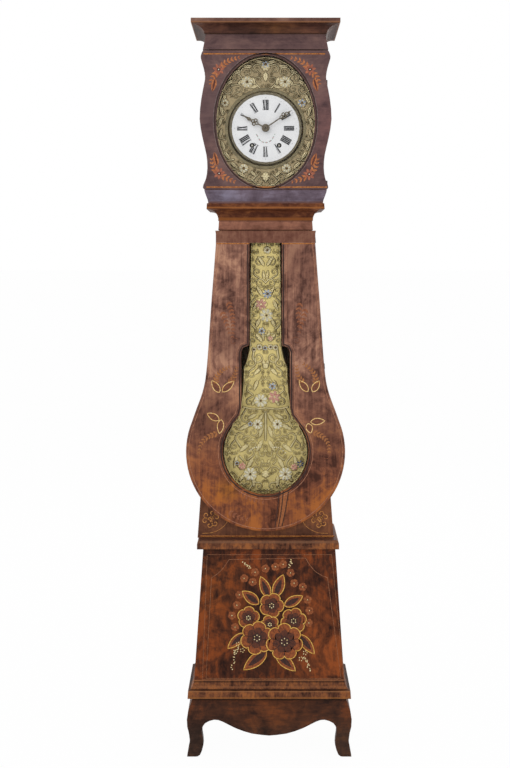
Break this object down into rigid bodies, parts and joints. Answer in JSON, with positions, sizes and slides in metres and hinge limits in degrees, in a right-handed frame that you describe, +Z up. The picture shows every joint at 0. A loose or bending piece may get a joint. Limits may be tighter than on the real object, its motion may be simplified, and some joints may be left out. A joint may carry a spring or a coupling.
{
  "type": "comtoise longcase clock",
  "caption": "Tall painted pine longcase clock with a violin-shaped glazed trunk door, an embossed brass dial surround, a wide embossed pendulum, weights, an iron-cage movement and a bell.",
  "frame": {"origin": "on the floor, in the middle under the clock's overall width and depth", "axes": "+Z up, the dial and doors face -Y, +X to the right as seen from the front"},
  "size_m": [0.542, 0.29, 2.4],
  "materials": {
    "head_paint": "dark purplish-brown painted and varnished pine",
    "band_paint": "bluish-purple painted pine, worn",
    "red_paint": "red-brown faux rosewood painted pine, varnished",
    "cornice_paint": "dark combed faux-grain paint on pine",
    "raw_pine": "unpainted aged pine",
    "clear_glass": "clear old window glass",
    "dark_iron": "oiled dark iron",
    "wheel_brass": "satin cast brass",
    "hand_brass": "pierced brass, tarnished grey-brown",
    "embossed_brass": "thin embossed brass, pale olive-gold, with painted flowers",
    "bezel_brass": "moulded brass, dull grey-brown",
    "white_enamel": "glossy white enamel on copper with black numerals",
    "spring_steel": "blued spring steel",
    "bell_bronze": "turned bell bronze",
    "weight_iron": "rough cast iron",
    "hemp_cord": "twisted hemp cord"
  },
  "bodies": {
    "case": {"head_top_board": "head_paint", "head_cornice": "head_paint", "head_frieze": "head_paint", "head_lower_band": "band_paint", "head_left_side": "head_paint", "head_right_side": "head_paint", "head_hinge_upper": "dark_iron", "head_hinge_lower": "dark_iron", "trunk_cornice": "cornice_paint", "trunk_left_side": "red_paint", "trunk_right_side": "red_paint", "case_back_board": "raw_pine", "trunk_front_frame": "red_paint", "trunk_hinge_upper": "dark_iron", "trunk_hinge_lower": "dark_iron", "movement_seat_board": "raw_pine", "waist_moulding": "red_paint", "base_front_panel": "red_paint", "base_left_side": "red_paint", "base_right_side": "red_paint", "base_moulding": "red_paint", "foot_apron_front": "red_paint", "foot_apron_left": "red_paint", "foot_apron_right": "red_paint", "movement_cage": "dark_iron", "bell": "bell_bronze", "dial_surround": "embossed_brass", "dial_bezel": "bezel_brass", "enamel_dial": "white_enamel", "going_cord": "hemp_cord", "strike_cord": "hemp_cord"},
    "head_door": {"head_door_frame": "head_paint", "head_door_glass": "clear_glass", "head_door_knuckle_upper": "dark_iron", "head_door_knuckle_lower": "dark_iron"},
    "trunk_door_leaf": {"trunk_door": "red_paint", "trunk_door_glass": "clear_glass", "trunk_door_knuckle_upper": "dark_iron", "trunk_door_knuckle_lower": "dark_iron"},
    "minute": {"minute_hand": "hand_brass", "cannon_pinion": "wheel_brass"},
    "hour": {"hour_hand": "hand_brass", "hour_wheel": "wheel_brass"},
    "minute_work": {"minute_wheel": "wheel_brass"},
    "going_great": {"going_great_wheel": "wheel_brass"},
    "going_second": {"going_second_wheel": "wheel_brass"},
    "going_third": {"going_third_wheel": "wheel_brass"},
    "escape": {"escape_wheel": "wheel_brass"},
    "going_drum": {"going_barrel": "dark_iron"},
    "going_load": {"going_weight": "weight_iron"},
    "strike_great": {"strike_great_wheel": "wheel_brass"},
    "strike_second": {"strike_second_wheel": "wheel_brass"},
    "fly": {"strike_fly": "wheel_brass"},
    "strike_drum": {"strike_barrel": "dark_iron"},
    "strike_load": {"strike_weight": "weight_iron"},
    "hammer_arm": {"hammer": "dark_iron"},
    "anchor": {"anchor_and_crutch": "dark_iron"},
    "pendulum": {"pendulum_rod": "dark_iron", "pendulum_front": "embossed_brass", "suspension_spring": "spring_steel"}
  },
  "joints": [
    {"name": "head_door_swing", "type": "hinge", "parent": "case", "child": "head_door", "pos_m": [0.186, -0.0883, 2.035], "axis": [0, 0, 1], "range_deg": [0, 100]},
    {"name": "trunk_door_swing", "type": "hinge", "parent": "case", "child": "trunk_door_leaf", "pos_m": [0.14863, -0.0633, 1.6855], "axis": [-0.0718, 0, 0.9974], "range_deg": [0, 90]},
    {"name": "minute_turn", "type": "hinge", "parent": "case", "child": "minute", "pos_m": [-0.012, -0.05, 2.0535], "axis": [0, 1, 0], "continuous": true},
    {"name": "hour_turn", "type": "hinge", "parent": "case", "child": "hour", "pos_m": [-0.012, -0.05, 2.0535], "axis": [0, 1, 0], "continuous": true},
    {"name": "minute_work_turn", "type": "hinge", "parent": "case", "child": "minute_work", "pos_m": [-0.012, -0.022, 2.025], "axis": [0, 1, 0], "continuous": true},
    {"name": "going_great_turn", "type": "hinge", "parent": "case", "child": "going_great", "pos_m": [0.0325, 0.09, 1.9975], "axis": [0, 1, 0], "continuous": true},
    {"name": "going_second_turn", "type": "hinge", "parent": "case", "child": "going_second", "pos_m": [0.03621, 0.05, 2.04024], "axis": [0, 1, 0], "continuous": true},
    {"name": "going_third_turn", "type": "hinge", "parent": "case", "child": "going_third", "pos_m": [0.01016, 0.05, 2.06209], "axis": [0, 1, 0], "continuous": true},
    {"name": "escape_turn", "type": "hinge", "parent": "case", "child": "escape", "pos_m": [-0.012, 0.05, 2.08448], "axis": [0, 1, 0], "continuous": true},
    {"name": "going_weight_drop", "type": "slide", "parent": "case", "child": "going_load", "axis": [0, 0, 1], "range_m": [0, 1.45], "deforming": ["going_cord"]},
    {"name": "going_barrel_turn", "type": "hinge", "parent": "case", "child": "going_drum", "pos_m": [0.0325, 0.05, 1.9975], "axis": [0, -1, 0], "range_deg": [0, 5832]},
    {"name": "strike_great_turn", "type": "hinge", "parent": "case", "child": "strike_great", "pos_m": [-0.0565, 0.09, 1.9975], "axis": [0, 1, 0], "continuous": true},
    {"name": "strike_second_turn", "type": "hinge", "parent": "case", "child": "strike_second", "pos_m": [-0.06021, 0.05, 2.04024], "axis": [0, 1, 0], "continuous": true},
    {"name": "fly_turn", "type": "hinge", "parent": "case", "child": "fly", "pos_m": [-0.05448, 0.05, 2.07274], "axis": [0, 1, 0], "continuous": true},
    {"name": "strike_weight_drop", "type": "slide", "parent": "case", "child": "strike_load", "axis": [0, 0, 1], "range_m": [0, 1.45], "deforming": ["strike_cord"]},
    {"name": "strike_barrel_turn", "type": "hinge", "parent": "case", "child": "strike_drum", "pos_m": [-0.0565, 0.05, 1.9975], "axis": [0, 1, 0], "range_deg": [0, 5832]},
    {"name": "hammer_lift", "type": "hinge", "parent": "case", "child": "hammer_arm", "pos_m": [-0.104, 0.051, 2.1315], "axis": [0, -1, 0], "range_deg": [0, 12]},
    {"name": "pendulum_swing", "type": "hinge", "parent": "case", "child": "pendulum", "pos_m": [-0.012, -0.031, 2.1505], "axis": [0, 1, 0], "range_deg": [-2, 2]},
    {"name": "anchor_rock", "type": "hinge", "parent": "case", "child": "anchor", "pos_m": [-0.012, 0.05, 2.1505], "axis": [0, 1, 0], "range_deg": [-2, 2]}
  ],
  "couplings": [
    {"joint": "hour_turn", "follows": "minute_turn", "ratio": 0.083333},
    {"joint": "minute_work_turn", "follows": "minute_turn", "ratio": -0.25},
    {"joint": "going_second_turn", "follows": "minute_turn", "ratio": -1},
    {"joint": "going_third_turn", "follows": "minute_turn", "ratio": 7.5},
    {"joint": "escape_turn", "follows": "minute_turn", "ratio": -60},
    {"joint": "going_great_turn", "follows": "minute_turn", "ratio": 0.083333},
    {"joint": "going_barrel_turn", "follows": "going_weight_drop", "rad_per_m": 70.175},
    {"joint": "strike_second_turn", "follows": "strike_great_turn", "ratio": -12},
    {"joint": "fly_turn", "follows": "strike_great_turn", "ratio": 120},
    {"joint": "strike_barrel_turn", "follows": "strike_weight_drop", "rad_per_m": 70.175},
    {"joint": "anchor_rock", "follows": "pendulum_swing", "ratio": 1}
  ]
}
